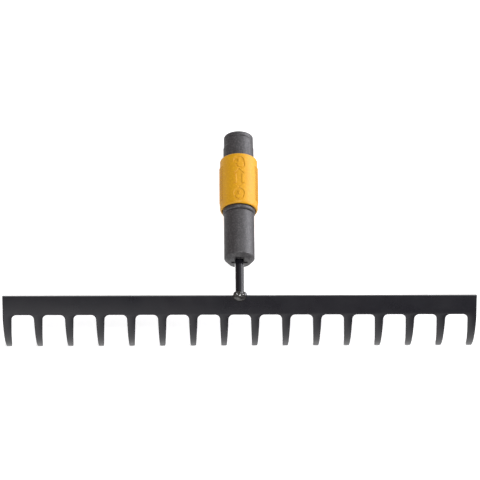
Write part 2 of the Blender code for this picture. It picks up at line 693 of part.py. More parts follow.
def build():
    clear_scene()
    root, axis, plate_edge, sleeve, front, rear = place_axes()
    add_rake_plate(root)
    add_tang_rod(axis)
    add_weld_bead(axis, plate_edge)
    add_ferrule(axis)
    add_tang_core("tang_core_left", -1, axis)
    add_tang_core("tang_core_right", 1, axis)
    pin = cross_cylinder("tang_cross_pin", PIN_RADIUS, PIN_HALF_LENGTH, PIN_HEIGHT, axis)
    finish_piece(pin, "zinc_steel")
    add_snap_ring(axis)
    add_base_ring(axis)
    add_connector_body(axis)
    add_socket_pad(axis)
    washer = (WASHER_BORE, WASHER_OUTER)
    add_ring("spring_stop_washer", washer, (STOP_WASHER_BOTTOM, STOP_WASHER_TOP), axis, "zinc_steel")
    add_spring(axis)
    add_locking_sleeve(sleeve)
    add_cam_ring(sleeve)
    thrust = (THRUST_WASHER_BOTTOM, THRUST_WASHER_TOP)
    add_ring("spring_thrust_washer", washer, thrust, sleeve, "zinc_steel")
    add_latch_pawl("latch_pawl_front", front)
    add_latch_pawl("latch_pawl_rear", rear)


build()
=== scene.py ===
import json
import math

import bmesh
import bpy
import numpy as np
from mathutils import Matrix, Vector


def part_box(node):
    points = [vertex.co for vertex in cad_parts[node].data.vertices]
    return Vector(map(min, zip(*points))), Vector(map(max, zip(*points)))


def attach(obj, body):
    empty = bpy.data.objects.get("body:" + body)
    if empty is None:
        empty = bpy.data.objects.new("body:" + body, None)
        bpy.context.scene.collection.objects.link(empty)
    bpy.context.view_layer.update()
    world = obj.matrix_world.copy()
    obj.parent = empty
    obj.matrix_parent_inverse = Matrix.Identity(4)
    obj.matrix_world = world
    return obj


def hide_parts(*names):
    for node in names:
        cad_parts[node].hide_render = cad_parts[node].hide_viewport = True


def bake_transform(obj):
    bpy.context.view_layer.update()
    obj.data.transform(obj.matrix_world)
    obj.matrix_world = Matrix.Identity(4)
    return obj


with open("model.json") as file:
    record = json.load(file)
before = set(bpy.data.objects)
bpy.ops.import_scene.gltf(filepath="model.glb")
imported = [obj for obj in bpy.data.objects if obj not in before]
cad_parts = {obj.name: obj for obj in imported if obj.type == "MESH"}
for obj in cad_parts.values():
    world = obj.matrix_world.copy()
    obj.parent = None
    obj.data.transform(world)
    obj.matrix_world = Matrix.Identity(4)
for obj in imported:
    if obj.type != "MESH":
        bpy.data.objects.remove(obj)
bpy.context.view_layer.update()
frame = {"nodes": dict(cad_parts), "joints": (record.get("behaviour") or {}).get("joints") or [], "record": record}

# The looks of a garden rake head. Sizes are in millimetres and become metres where a mesh is made.
MM = 0.001
FIT = 0.3  # gap between pieces that fit together

# Stamped plate: distances along it are measured from the bar's top edge.
PLATE_THICKNESS = 3.0
BAR_HALF_LENGTH = 210.0
BAR_HEIGHT = 17.35
TOOTH_COUNT = 16
TOOTH_PITCH = 27.47
TOOTH_ROOT_WIDTH = 7.55
TOOTH_TIP_WIDTH = 4.7
TIP_CORNER = 1.1
GAP_CORNER = 4.3
FLAT_LENGTH = 14.4
BEND_RADIUS = 41.8
TIP_STRAIGHT = 4.62
BAR_SLOPE = math.radians(31.0)
BEND_ANGLE = math.pi / 2 - BAR_SLOPE
PLATE_LENGTH = FLAT_LENGTH + BEND_RADIUS * BEND_ANGLE + TIP_STRAIGHT
ROOT_LINE = BAR_HEIGHT + GAP_CORNER

# Heights along the socket's axis, from the bar's top edge, and radii about it.
ROD_RADIUS = 3.75
ROD_TOP = 64.5
ROD_CHAMFER = 0.6
FERRULE_END = 33.0
FERRULE_END_RADIUS = 10.3
FERRULE_RADIUS = 13.6
FERRULE_CONE_TOP = 36.5
FERRULE_WALL_TOP = 38.0
FERRULE_BORE = 10.8
FERRULE_TOP = 80.5
TANG_SLOT_HALF = ROD_RADIUS + FIT
TANG_SLOT_FLARE = 1.3
TANG_SLOT_FLARE_START = 8.5
TANG_RECESS_DEPTH = 1.3
TANG_RECESS_CORNER = 1.6
CROSS_SLOT_HALF = (7.2, 1.5)
HOLLOW_HALF_WIDTH = 7.6
HOLLOW_REACH = 5.8
HOLLOW_WALL = 1.4
SNAP_LOW = 72.5
SNAP_HIGH = 74.5
SNAP_DEPTH = 0.8
BASE_BOTTOM = 81.0
BASE_TOP = 84.4
BASE_RADIUS = 14.6
BASE_STEP_RADIUS = 13.5
BASE_STEP_TOP = 86.4
LUG_TOP = 97.0
LUG_HALF_WIDTH = 2.0
LUG_OUTER = 13.0
NECK_BOTTOM = 84.7
NECK_RADIUS = 11.6
NECK_TOP = 134.2
SPIGOT_RADIUS = 10.5
SPIGOT_BOTTOM = 66.0
SPIGOT_CORING_RADIUS = 5.5
SPIGOT_CORING_TOP = 87.5
BODY_RADIUS = 13.25
GUIDE_RADIUS = 13.7
GUIDE_TOP = 149.3
GUIDE_ANGLES = (math.radians(56), math.radians(40))
MOUTH = 160.9
MOUTH_GROOVE = 156.3
MOUTH_GROOVE_DEPTH = 0.6
SOCKET_RADIUS = 9.5
SOCKET_FLOOR = 92.7
SOCKET_CHAMFER = 0.7
KEYWAY_DEPTH = 1.1
KEYWAY_HALF_WIDTH = 2.0
KEYWAY_BOTTOM = 120.0
WINDOW_HALF_WIDTH = 4.3
WINDOW_REACH = (8.0, 12.3)
WINDOW_HEIGHTS = (100.7, 107.3)
SLEEVE_BOTTOM = 84.7
SLEEVE_TOP = 135.8
SLEEVE_BORE = 15.0
SLEEVE_LOW_RADIUS = 17.0
SLEEVE_TOP_RADIUS = 16.85
SLEEVE_LOW_ROUND = 2.4
SLEEVE_LOW_ROUND_DEPTH = 0.62
SLEEVE_TOP_ROUND = 1.3
FLANGE_BOTTOM = 86.7
FLANGE_TOP = 88.7
FLANGE_BORE = 11.9
GRIP_RADIUS = 17.55
GRIP_BOTTOM = 91.2
GRIP_TOP = 127.9
GRIP_HALF_ANGLE = math.radians(32.0)
GRIP_PITCH = 2.38
GRIP_GROOVE_DEPTH = 1.0
GRIP_CORNER = 2.5

# Signs sunk into the front of the sleeve: two padlocks with a two-way arrow between them, as heights
# along the socket's axis and distances round the sleeve.
SIGN_DEPTH = 0.6
SIGN_STROKE = 0.62
SIGN_HALF_ANGLE = 0.5
LOCK_CASE_RADIUS = 4.9
SHACKLE_RADIUS = 3.65
CLOSED_LOCK = 94.8
CLOSED_LOCK_LOW = 92.7
CLOSED_SHACKLE = 91.9
OPEN_LOCK = 127.7
OPEN_LOCK_LOW = 126.6
OPEN_SHACKLE = (1.3, 124.6)
ARROW_ENDS = (100.4, 119.9)
ARROW_HEAD = 5.0
ARROW_HALF_HEAD = 5.0
ARROW_HALF_SHAFT = 2.7

# Coil spring between its two washers.
SPRING_BOTTOM = 112.8
SPRING_TOP = 132.7
SPRING_WIRE_RADIUS = 0.6
SPRING_COIL_RADIUS = 13.3
SPRING_TURNS = 6.5

# Camera: how steeply it looks down, its distance from the bar's top edge, and its lens.
VIEW_ELEVATION = math.radians(74.52)
VIEW_DISTANCE = 2.501
VIEW_RISE = 0.0490  # how far the middle of the picture lies above the bar's top edge
VIEW_ASIDE = 0.00031
VIEW_YAW = math.radians(0.75)
VIEW_ROLL = math.radians(0.13)
LENS = 212.0

# Studio walls as soft round patches: direction, outer and inner angle in degrees, and tone.
STUDIO_TONE = (0.55, 0.55, 0.55)
STUDIO_PATCHES = [
    ((0.0, -0.80, -0.60), 60.0, 25.0, (1.1, 1.1, 1.1)),
    ((0.0, 0.25, -0.97), 27.0, 10.0, (0.30, 0.30, 0.30)),
    ((0.50, 0.25, -0.83), 30.0, 12.0, (0.30, 0.30, 0.30)),
    ((0.0, 0.80, -0.60), 34.0, 16.0, (1.9, 1.9, 1.9)),
    ((-0.82, 0.50, 0.25), 58.0, 28.0, (0.17, 0.14, 0.13)),
    ((0.0, -0.73, 0.69), 45.0, 20.0, (0.22, 0.22, 0.22)),
    ((0.65, -0.72, 0.20), 42.0, 20.0, (0.18, 0.18, 0.18)),
    ((-0.40, -0.86, 0.30), 34.0, 8.0, (1.7, 1.7, 1.7)),
    ((0.88, 0.45, 0.14), 40.0, 22.0, (2.65, 2.65, 2.8)),
    ((0.88, 0.36, 0.31), 12.0, 6.0, (8.6, 8.6, 9.0)),
]


# Places from the frame


def plate_place(distance):
    """Offset (y, z) from the bar's top edge, and the heading, at a distance down the plate."""
    start = math.pi + BAR_SLOPE
    flat = min(distance, FLAT_LENGTH)
    bent = min(max(distance - FLAT_LENGTH, 0.0), BEND_RADIUS * BEND_ANGLE)
    heading = start + bent / BEND_RADIUS
    straight = max(distance - FLAT_LENGTH - BEND_RADIUS * BEND_ANGLE, 0.0)
    y = flat * math.cos(start) + BEND_RADIUS * (math.sin(heading) - math.sin(start))
    z = flat * math.sin(start) - BEND_RADIUS * (math.cos(heading) - math.cos(start))
    return y + straight * math.cos(heading), z + straight * math.sin(heading), heading


def edge_point():
    """The rod's axis at the bar's top edge, worked out from the plate's box, in metres."""
    low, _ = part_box("rake_plate")
    tip_y, tip_z, _ = plate_place(PLATE_LENGTH)
    return Vector((0.0, low.y - (tip_y - PLATE_THICKNESS / 2) * MM, low.z - tip_z * MM))


def socket_matrix():
    """Local +Z along the socket towards its mouth, local -Y on its upper side."""
    slide = next(joint for joint in frame["joints"] if joint["name"] == "sleeve_slide")
    along = Vector(slide["axis"]).normalized()
    across = Vector((1, 0, 0))
    down = along.cross(across)
    turn = Matrix((across, down, along)).transposed().to_4x4()
    return Matrix.Translation(edge_point()) @ turn


EDGE = edge_point()
SOCKET = socket_matrix()
AXIS_DROOP = math.asin(-SOCKET.col[2].z)
PLATE = Matrix.Translation(EDGE) @ Matrix.Rotation(BAR_SLOPE, 4, "X")


# Mesh helpers


def add_mesh(name, points, faces, place, smooth_angle=40.0):
    """A piece from points in millimetres; place takes them to the shared frame."""
    mesh = bpy.data.meshes.new(name)
    mesh.from_pydata((np.asarray(points) * MM).tolist(), [], faces)
    mesh.transform(place)
    shaped = bmesh.new()
    shaped.from_mesh(mesh)
    bmesh.ops.recalc_face_normals(shaped, faces=shaped.faces)
    shaped.to_mesh(mesh)
    shaped.free()
    mesh.shade_smooth()
    mesh.set_sharp_from_angle(angle=math.radians(smooth_angle))
    piece = bpy.data.objects.new(name, mesh)
    bpy.context.scene.collection.objects.link(piece)
    return piece


def grid_faces(rows, columns):
    """Quads of a grid of points that closes on itself both ways."""
    faces = []
    for row in range(rows):
        below = (row + 1) % rows
        for column in range(columns):
            after = (column + 1) % columns
            corners = [row * columns + column, row * columns + after]
            corners += [below * columns + after, below * columns + column]
            faces.append(corners)
    return faces


def ring_points(radii, turns, height):
    return np.stack([radii * np.cos(turns), radii * np.sin(turns), np.full(len(turns), height)], 1)


def turned(name, profile, place, turns, radius_at=None, smooth_angle=40.0):
    """A solid of revolution from a closed outline of (radius, height).

    radius_at may change a radius by the turn.
    """
    turns = np.asarray(turns)
    rows = []
    for radius, height in profile:
        radii = np.full(len(turns), float(radius))
        if radius_at is not None:
            radii = radius_at(radii, height, turns)
        rows.append(ring_points(radii, turns, height))
    piece = add_mesh(name, np.concatenate(rows), grid_faces(len(rows), len(turns)), place, smooth_angle)
    close_poles(piece)
    return piece


def close_poles(piece):
    """Rows of points on the axis become one point each."""
    shaped = bmesh.new()
    shaped.from_mesh(piece.data)
    bmesh.ops.remove_doubles(shaped, verts=shaped.verts, dist=1e-6)
    bmesh.ops.dissolve_degenerate(shaped, edges=shaped.edges, dist=1e-7)
    loose = [face for face in shaped.faces if face.calc_area() < 1e-14]
    bmesh.ops.delete(shaped, geom=loose, context="FACES")
    bmesh.ops.recalc_face_normals(shaped, faces=shaped.faces)
    shaped.to_mesh(piece.data)
    shaped.free()


def even_turns(count):
    return np.linspace(0, 2 * math.pi, count, endpoint=False)


def arc(radius, start, end, steps):
    """Points of an arc about the origin, both ends included."""
    turns = np.linspace(start, end, steps + 1)
    return [(radius * math.cos(turn), radius * math.sin(turn)) for turn in turns]


def round_edge(centre, radius, start, end, steps=6):
    """Points of an arc about a centre."""
    return [(centre[0] + x, centre[1] + z) for x, z in arc(radius, start, end, steps)]


def prism(name, outline, bottom, top, place):
    """An outline (x, y) drawn out from one height to another."""
    count = len(outline)
    points = [(x, y, height) for height in (bottom, top) for x, y in outline]
    faces = [list(range(count)), list(range(count, 2 * count))]
    faces += [[k, (k + 1) % count, count + (k + 1) % count, count + k] for k in range(count)]
    return add_mesh(name, points, faces, place)


def block(name, x_range, y_range, z_range, place):
    (x0, x1), (y0, y1) = x_range, y_range
    return prism(name, [(x0, y0), (x1, y0), (x1, y1), (x0, y1)], *z_range, place)


def apply_modifiers(piece):
    """The piece's mesh becomes what its modifiers make of it."""
    graph = bpy.context.evaluated_depsgraph_get()
    piece.data = bpy.data.meshes.new_from_object(piece.evaluated_get(graph))
    piece.modifiers.clear()


def combine(piece, others, operation):
    """Booleans of a piece with helpers, applied, after which the helpers are gone."""
    for other in others:
        modifier = piece.modifiers.new(operation, "BOOLEAN")
        modifier.operation = operation
        modifier.solver = "EXACT"
        modifier.object = other
    apply_modifiers(piece)
    for other in others:
        bpy.data.objects.remove(other)


def bevel(piece, width, segments, angle):
    """Rounds the edges that are sharper than an angle in degrees."""
    modifier = piece.modifiers.new("Bevel", "BEVEL")
    modifier.width = width * MM
    modifier.segments = segments
    modifier.limit_method = "ANGLE"
    modifier.angle_limit = math.radians(angle)
    modifier.harden_normals = False
    apply_modifiers(piece)
    piece.data.shade_smooth()
    piece.data.set_sharp_from_angle(angle=math.radians(50.0))


# Materials


def node_material(name):
    made = bpy.data.materials.new(name)
    made.use_nodes = True
    tree = made.node_tree
    return made, tree, tree.nodes["Principled BSDF"]


def add_noise(tree, scale, detail=4.0, rough=0.55):
    place = tree.nodes.new("ShaderNodeTexCoord")
    noise = tree.nodes.new("ShaderNodeTexNoise")
    noise.inputs["Scale"].default_value = scale
    noise.inputs["Detail"].default_value = detail
    noise.inputs["Roughness"].default_value = rough
    tree.links.new(place.outputs["Object"], noise.inputs["Vector"])
    return noise.outputs["Fac"]


def add_range(tree, value, low, high, out_low, out_high):
    spread = tree.nodes.new("ShaderNodeMapRange")
    spread.inputs["From Min"].default_value = low
    spread.inputs["From Max"].default_value = high
    spread.inputs["To Min"].default_value = out_low
    spread.inputs["To Max"].default_value = out_high
    tree.links.new(value, spread.inputs["Value"])
    return spread.outputs["Result"]


def add_mix(tree, share, first, second):
    """A colour between two: each is a colour or another node's output."""
    mix = tree.nodes.new("ShaderNodeMix")
    mix.data_type = "RGBA"
    tree.links.new(share, mix.inputs["Factor"])
    for socket, colour in (("A", first), ("B", second)):
        target = next(i for i in mix.inputs if i.name == socket and i.type == "RGBA")
        if isinstance(colour, tuple):
            target.default_value = (*colour, 1.0)
        else:
            tree.links.new(colour, target)
    return next(o for o in mix.outputs if o.type == "RGBA")


def add_bump(tree, shader, heights):
    """Bumps of (height output, depth in metres), one over the other."""
    normal = None
    for height, depth in heights:
        bump = tree.nodes.new("ShaderNodeBump")
        bump.inputs["Strength"].default_value = 1.0
        bump.inputs["Distance"].default_value = depth
        tree.links.new(height, bump.inputs["Height"])
        if normal is not None:
            tree.links.new(normal, bump.inputs["Normal"])
        normal = bump.outputs["Normal"]
    tree.links.new(normal, shader.inputs["Normal"])


def paint_material(name, colour, dusty, roughness, bump_depth, gloss):
    """Black stoving paint over steel: cloudy tone, faint rub marks, orange peel."""
    made, tree, shader = node_material(name)
    clouds = add_range(tree, add_noise(tree, 26.0, 5.0), 0.35, 0.70, 0.0, 1.0)
    specks = add_range(tree, add_noise(tree, 1500.0, 3.0), 0.60, 0.72, 0.0, 0.55)
    base = add_mix(tree, clouds, colour, dusty)
    speckled = add_mix(tree, specks, base, tuple(3.2 * c for c in dusty))
    tree.links.new(speckled, shader.inputs["Base Color"])
    smear = add_range(tree, add_noise(tree, 60.0, 6.0), 0.3, 0.7, roughness - 0.06, roughness + 0.10)
    tree.links.new(smear, shader.inputs["Roughness"])
    peel = add_noise(tree, 420.0, 2.0)
    grit = add_noise(tree, 2600.0, 3.0)
    add_bump(tree, shader, [(peel, bump_depth), (grit, bump_depth * 0.25)])
    shader.inputs["IOR"].default_value = 1.5
    shader.inputs["Specular IOR Level"].default_value = gloss
    return made


def plastic_material(name, colour, shade, roughness, grain_depth, speck, gloss):
    """Moulded plastic: a fine spark-eroded grain, slight tone clouds and pale specks."""
    made, tree, shader = node_material(name)
    clouds = add_range(tree, add_noise(tree, 45.0, 4.0), 0.3, 0.7, 0.0, 1.0)
    specks = add_range(tree, add_noise(tree, 760.0, 3.0, 0.7), 0.48, 0.62, 0.0, speck)
    base = add_mix(tree, clouds, colour, shade)
    speckled = add_mix(tree, specks, base, tuple(min(1.0, 1.9 * c) for c in colour))
    tree.links.new(speckled, shader.inputs["Base Color"])
    blotch = add_range(tree, add_noise(tree, 300.0, 4.0), 0.3, 0.7, roughness - 0.05, roughness + 0.07)
    tree.links.new(blotch, shader.inputs["Roughness"])
    fine = add_noise(tree, 1500.0, 2.0)
    coarse = add_noise(tree, 560.0, 2.0)
    add_bump(tree, shader, [(fine, 0.5 * grain_depth), (coarse, grain_depth)])
    shader.inputs["IOR"].default_value = 1.5
    shader.inputs["Specular IOR Level"].default_value = gloss
    return made


def paint_groove_shade(made, colour, most):
    """Painted shade: a deeper, warmer tone where the mesh's attribute says that a point lies in a groove."""
    tree = made.node_tree
    base = tree.nodes["Principled BSDF"].inputs["Base Color"]
    groove_shade = tree.nodes.new("ShaderNodeAttribute")
    groove_shade.attribute_name = "groove_shade"
    share = add_range(tree, groove_shade.outputs["Fac"], 0.0, 1.0, 0.0, most)
    tree.links.new(add_mix(tree, share, base.links[0].from_socket, colour), base)
    return made


def metal_material(name, colour, roughness, streak_scale):
    """Plated or drawn steel: fine streaks and cloudy roughness."""
    made, tree, shader = node_material(name)
    clouds = add_range(tree, add_noise(tree, 180.0, 5.0), 0.3, 0.7, 0.0, 1.0)
    base = add_mix(tree, clouds, colour, tuple(0.72 * c for c in colour))
    tree.links.new(base, shader.inputs["Base Color"])
    streaks = add_noise(tree, streak_scale, 5.0)
    smear = add_range(tree, streaks, 0.3, 0.7, roughness - 0.08, roughness + 0.14)
    tree.links.new(smear, shader.inputs["Roughness"])
    add_bump(tree, shader, [(streaks, 8e-6)])
    shader.inputs["Metallic"].default_value = 1.0
    return made


def make_materials():
    """Each material by its name, which is its slot, or a glossier paint for the rod or the weld."""
    paints = {
        "painted_steel": ((0.008, 0.0076, 0.0115), (0.012, 0.0108, 0.0145), 0.29, 1.6e-5, 0.5),
        "rod_paint": ((0.007, 0.007, 0.010), (0.010, 0.009, 0.012), 0.14, 6e-6, 0.5),
        "weld_paint": ((0.014, 0.013, 0.013), (0.024, 0.021, 0.019), 0.09, 6e-6, 1.0),
    }
    plastics = {
        "grey_plastic": ((0.046, 0.0435, 0.0455), (0.038, 0.0355, 0.038), 0.38, 2.8e-4, 1.0, 0.6),
        "core_plastic": ((0.020, 0.020, 0.021), (0.015, 0.015, 0.016), 0.5, 2e-5, 0.5, 0.5),
        "orange_plastic": ((0.67, 0.318, 0.007), (0.63, 0.295, 0.007), 0.37, 1.2e-4, 0.25, 0.40),
        "cam_plastic": ((0.62, 0.61, 0.56), (0.56, 0.55, 0.50), 0.35, 1e-5, 0.2, 0.5),
        "pad_rubber": ((0.012, 0.012, 0.012), (0.018, 0.018, 0.018), 0.75, 3e-5, 0.5, 0.5),
    }
    metals = {
        "zinc_steel": ((0.62, 0.62, 0.60), 0.34, 900.0),
        "spring_steel": ((0.34, 0.34, 0.36), 0.30, 1600.0),
    }
    made = {name: paint_material(name, *look) for name, look in paints.items()}
    made |= {name: plastic_material(name, *look) for name, look in plastics.items()}
    made |= {name: metal_material(name, *look) for name, look in metals.items()}
    # Painted shade: the sleeve turns a deeper, warmer orange in its grip grooves and along its signs' edges.
    paint_groove_shade(made["orange_plastic"], (0.20, 0.060, 0.002), 0.34)
    return made


def finish_piece(piece, slot, body, nodes=(), look=None):
    """Gives a piece its material, its body and the CAD nodes that it stands for."""
    piece.data.materials.clear()
    piece.data.materials.append(MATERIALS[look or slot])
    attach(piece, body)
    if nodes:
        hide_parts(*nodes)
    return piece


# Stamped plate


def tooth_width(distance):
    share = max(distance - ROOT_LINE, 0.0) / (PLATE_LENGTH - ROOT_LINE)
    width = TOOTH_ROOT_WIDTH - (TOOTH_ROOT_WIDTH - TOOTH_TIP_WIDTH) * share
    into_tip = distance - (PLATE_LENGTH - TIP_CORNER)
    if into_tip > 0:
        width -= 2 * (TIP_CORNER - math.sqrt(max(TIP_CORNER**2 - into_tip**2, 0.0)))
    return width


def corner_spread(distance):
    """How far a tooth's side stands out in the round corner of the gap beside it."""
    into_corner = max(ROOT_LINE - distance, 0.0)
    return GAP_CORNER - math.sqrt(max(GAP_CORNER**2 - into_corner**2, 0.0))


def tooth_sides(index, distance):
    centre = (index - (TOOTH_COUNT - 1) / 2) * TOOTH_PITCH
    half = tooth_width(distance) / 2
    spare = BAR_HALF_LENGTH - (TOOTH_COUNT - 1) / 2 * TOOTH_PITCH - TOOTH_ROOT_WIDTH / 2
    spread = corner_spread(distance)
    left = centre - half - (spare if index == 0 else spread)
    right = centre + half + (spare if index == TOOTH_COUNT - 1 else spread)
    return left, right


def tooth_stations():
    """Distances down the plate at which a tooth's sides have points: the root corner, the bend, the tip."""
    corner_steps, bend_steps, tip_steps = 9, 30, 6
    corner_turns = [math.pi / 2 * k / corner_steps for k in range(1, corner_steps + 1)]
    corner = [ROOT_LINE - GAP_CORNER * math.cos(turn) for turn in corner_turns]
    bend = [FLAT_LENGTH + BEND_RADIUS * BEND_ANGLE * k / bend_steps for k in range(bend_steps + 1)]
    bend = [distance for distance in bend if distance > ROOT_LINE + 0.7]
    tip_start = PLATE_LENGTH - TIP_CORNER
    tip = [tip_start + TIP_CORNER * math.sin(math.pi / 2 / tip_steps * k) for k in range(tip_steps + 1)]
    return corner + bend + [(bend[-1] + tip_start) / 2] + tip


def plate_outline():
    """The flat comb as 2D points (x, distance) and faces: the bar in two strips, then each tooth's quads."""
    points = [(-BAR_HALF_LENGTH, 0.0), (BAR_HALF_LENGTH, 0.0)]
    points += [(BAR_HALF_LENGTH, FLAT_LENGTH), (-BAR_HALF_LENGTH, FLAT_LENGTH)]
    lower_strip = [3, 2]
    faces = [[0, 1, 2, 3], lower_strip]
    for index in reversed(range(TOOTH_COUNT)):
        left, right = tooth_sides(index, BAR_HEIGHT)
        points += [(right, BAR_HEIGHT), (left, BAR_HEIGHT)]
        right_before, left_before = len(points) - 2, len(points) - 1
        lower_strip += [right_before, left_before]
        for distance in tooth_stations():
            left, right = tooth_sides(index, distance)
            points += [(right, distance), (left, distance)]
            right_now, left_now = len(points) - 2, len(points) - 1
            faces.append([right_before, right_now, left_now, left_before])
            right_before, left_before = right_now, left_now
    return points, faces


def make_rake_plate():
    flat, flat_faces = plate_outline()
    points = []
    for side in (-0.5, 0.5):
        for x, distance in flat:
            y, z, heading = plate_place(distance)
            offset = side * PLATE_THICKNESS
            points.append((x, y - offset * math.sin(heading), z + offset * math.cos(heading)))
    count = len(flat)
    faces = list(flat_faces)
    faces += [[corner + count for corner in reversed(face)] for face in flat_faces]
    uses = {}
    for face in flat_faces:
        for start, end in zip(face, face[1:] + face[:1]):
            key = (min(start, end), max(start, end))
            uses[key] = uses.get(key, 0) + 1
    faces += [[a, b, b + count, a + count] for (a, b), number in uses.items() if number == 1]
    plate = add_mesh("rake_plate_painted", points, faces, Matrix.Translation(EDGE))
    bevel(plate, 0.55, segments=3, angle=60.0)
    return finish_piece(plate, "painted_steel", "root", ["rake_plate"])


# Rod and weld


def make_tang_rod():
    """Its foot is cut to the plate's slope and its top is chamfered."""
    along = math.cos(BAR_SLOPE + AXIS_DROOP)
    across = math.sin(BAR_SLOPE + AXIS_DROOP)
    sides = 64
    blunt = 0.86
    turns = even_turns(sides)
    x, y = ROD_RADIUS * np.cos(turns), ROD_RADIUS * np.sin(turns)
    foot = np.stack([x, y, (FIT + across * y) / along], 1)
    rows = [np.zeros((sides, 3)) + foot.mean(0), foot]
    for height in (8.0, 20.0, 40.0, ROD_TOP - ROD_CHAMFER):
        rows.append(np.stack([x, y, np.full(sides, height)], 1))
    rows.append(np.stack([blunt * x, blunt * y, np.full(sides, ROD_TOP)], 1))
    rows.append(np.zeros((sides, 3)) + (0, 0, ROD_TOP))
    rod = add_mesh("tang_rod_painted", np.concatenate(rows), grid_faces(len(rows), sides), SOCKET)
    close_poles(rod)
    return finish_piece(rod, "painted_steel", "root", ["tang_rod"], look="rod_paint")


def make_weld_bead():
    """Overlapping drops of weld round the rod's foot, melted into one skin.

    A drop is its middle (x, y, z) and its half sizes along the three.
    """
    shaped = bmesh.new()
    drops = [(0.0, -0.7, 0.3, 5.8, 4.5, 4.7)]
    ring_drops = 6
    for k in range(ring_drops):
        turn = 2 * math.pi * k / ring_drops + 0.35
        lump = 1 + 0.08 * math.sin(2.7 * k + 1)
        drops.append((3.6 * math.cos(turn), 2.2 * math.sin(turn), 0.6, 2.9 * lump, 2.7 * lump, 3.3))
    for x, y, z, a, b, c in drops:
        place = Matrix.Translation((x * MM, y * MM, z * MM)) @ Matrix.Diagonal((a * MM, b * MM, c * MM, 1))
        bmesh.ops.create_icosphere(shaped, subdivisions=4, radius=1.0, matrix=place)
    mesh = bpy.data.meshes.new("weld_bead_painted")
    shaped.to_mesh(mesh)
    shaped.free()
    bead = bpy.data.objects.new("weld_bead_painted", mesh)
    bpy.context.scene.collection.objects.link(bead)
    remesh = bead.modifiers.new("Melt", "REMESH")
    remesh.mode = "VOXEL"
    remesh.voxel_size = 0.28 * MM
    smooth = bead.modifiers.new("Smooth", "SMOOTH")
    smooth.iterations = 10
    apply_modifiers(bead)
    bead.data.transform(PLATE)
    bead.data.shade_smooth()
    return finish_piece(bead, "weld", "root", ["weld_bead"], look="weld_paint")


# Ferrule and base ring


def make_ferrule():
    """A tube with a conical lower end, slotted for the rod, and a groove inside for the snap ring."""
    profile = [(0.0, FERRULE_END), (FERRULE_END_RADIUS - 0.3, FERRULE_END)]
    profile += [(FERRULE_END_RADIUS, FERRULE_END + 0.12)]
    profile += round_edge((FERRULE_RADIUS - 1.0, FERRULE_CONE_TOP + 0.5), 1.0, -math.pi / 4, 0)
    profile += round_edge((FERRULE_RADIUS - 0.5, FERRULE_TOP - 0.5), 0.5, 0, math.pi / 2)
    snap_radius = FERRULE_BORE + SNAP_DEPTH
    profile += [(FERRULE_BORE, FERRULE_TOP), (FERRULE_BORE, SNAP_HIGH), (snap_radius, SNAP_HIGH)]
    profile += [(snap_radius, SNAP_LOW), (FERRULE_BORE, SNAP_LOW)]
    profile += [(FERRULE_BORE, FERRULE_WALL_TOP), (0.0, FERRULE_WALL_TOP)]
    ferrule = turned("ferrule_moulded", profile, SOCKET, even_turns(128))
    combine(ferrule, ferrule_cuts(), "DIFFERENCE")
    bevel(ferrule, 0.22, segments=2, angle=40.0)
    return finish_piece(ferrule, "grey_plastic", "root", ["ferrule"])


def ferrule_cuts():
    """The rod's slot with the recess above the rod, the cross slot, and the hollow behind the end wall."""
    half, corner, side_x, side_y = TANG_SLOT_HALF, TANG_RECESS_CORNER, *CROSS_SLOT_HALF
    flare = half + TANG_SLOT_FLARE
    wall = (FERRULE_END - 1, FERRULE_WALL_TOP + 0.15)
    outline = [(-half, -half), (half, -half), (half, TANG_SLOT_FLARE_START)]
    outline += [(flare, FERRULE_RADIUS + 1), (-flare, FERRULE_RADIUS + 1), (-half, TANG_SLOT_FLARE_START)]
    recess = [(-half, 0), (half, 0)]
    recess += round_edge((half - corner, corner - FERRULE_END_RADIUS), corner, 0, -math.pi / 2)
    recess += round_edge((corner - half, corner - FERRULE_END_RADIUS), corner, -math.pi / 2, -math.pi)
    behind_wall = (FERRULE_END + HOLLOW_WALL, wall[1])
    hollow_side = (-HOLLOW_HALF_WIDTH, HOLLOW_HALF_WIDTH)
    return [
        prism("cut_tang", outline, *wall, SOCKET),
        prism("cut_recess", recess, wall[0], FERRULE_END + TANG_RECESS_DEPTH, SOCKET),
        block("cut_cross", (-side_x, side_x), (-side_y, side_y), wall, SOCKET),
        block("cut_hollow", hollow_side, (-side_y, HOLLOW_REACH), behind_wall, SOCKET),
    ]


def make_base_ring():
    """A stepped ring with two lugs that guide the sleeve."""
    bore = SPIGOT_RADIUS + FIT
    step_bore = NECK_RADIUS + FIT
    profile = [(bore, BASE_BOTTOM), (BASE_RADIUS - 1.0, BASE_BOTTOM), (BASE_RADIUS - 0.8, BASE_BOTTOM + 0.1)]
    profile += [(BASE_RADIUS - 0.1, BASE_BOTTOM + 0.9), (BASE_RADIUS, BASE_BOTTOM + 1.1)]
    profile += round_edge((BASE_RADIUS - 0.4, BASE_TOP - 0.4), 0.4, 0, math.pi / 2)
    profile += [(BASE_STEP_RADIUS, BASE_TOP), (BASE_STEP_RADIUS, BASE_STEP_TOP), (step_bore, BASE_STEP_TOP)]
    profile += [(step_bore, BASE_TOP), (bore, BASE_TOP)]
    ring = turned("base_ring_moulded", profile, SOCKET, even_turns(128))
    lugs = []
    for side in (-1, 1):
        across = sorted((side * (step_bore + 0.05), side * LUG_OUTER))
        wide = (-LUG_HALF_WIDTH, LUG_HALF_WIDTH)
        lugs.append(block(f"lug_{side}", across, wide, (BASE_TOP + 0.5, LUG_TOP), SOCKET))
    combine(ring, lugs, "UNION")
    ring.data.shade_smooth()
    ring.data.set_sharp_from_angle(angle=math.radians(40.0))
    return finish_piece(ring, "grey_plastic", "root", ["base_ring"])


# Connector body


def ease(value, low, high):
    """0 below low, 1 above high, and a smooth rise between them."""
    share = np.clip((value - low) / (high - low), 0.0, 1.0)
    return share * share * (3 - 2 * share)


